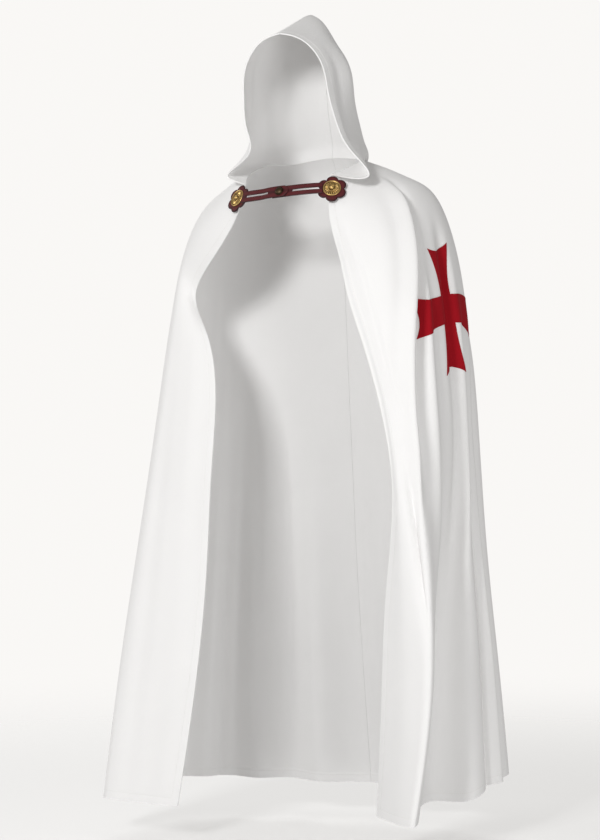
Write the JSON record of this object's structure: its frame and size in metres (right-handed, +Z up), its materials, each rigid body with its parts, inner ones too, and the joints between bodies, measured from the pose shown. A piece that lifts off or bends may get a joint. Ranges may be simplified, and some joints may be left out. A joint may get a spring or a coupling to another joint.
{
  "type": "hooded cloak",
  "caption": "Full-length hooded cloak of white twill, worn open at the front, with a leather neck clasp and a red cloth cross on the upper arm.",
  "frame": {"origin": "on the wearer's body axis at the base of the neck, inside the neck seam", "axes": "+Z up, the wearer faces -Y, the wearer's left is +X"},
  "size_m": [0.8261, 0.5092, 1.6943],
  "materials": {
    "white_twill": "matt twill weave",
    "red_cloth": "matt cloth",
    "burgundy_leather": "satin",
    "brass": "polished",
    "dark_brass": "antiqued"
  },
  "bodies": {
    "root": {"cloak_left": "white_twill", "cloak_right": "white_twill", "hood_left": "white_twill", "hood_right": "white_twill", "cross": "red_cloth", "rosette_left": "burgundy_leather", "rosette_right": "burgundy_leather", "boss_left": "brass", "boss_right": "brass", "strap_left": "burgundy_leather", "strap_right": "burgundy_leather", "stud": "dark_brass"}
  },
  "joints": []
}
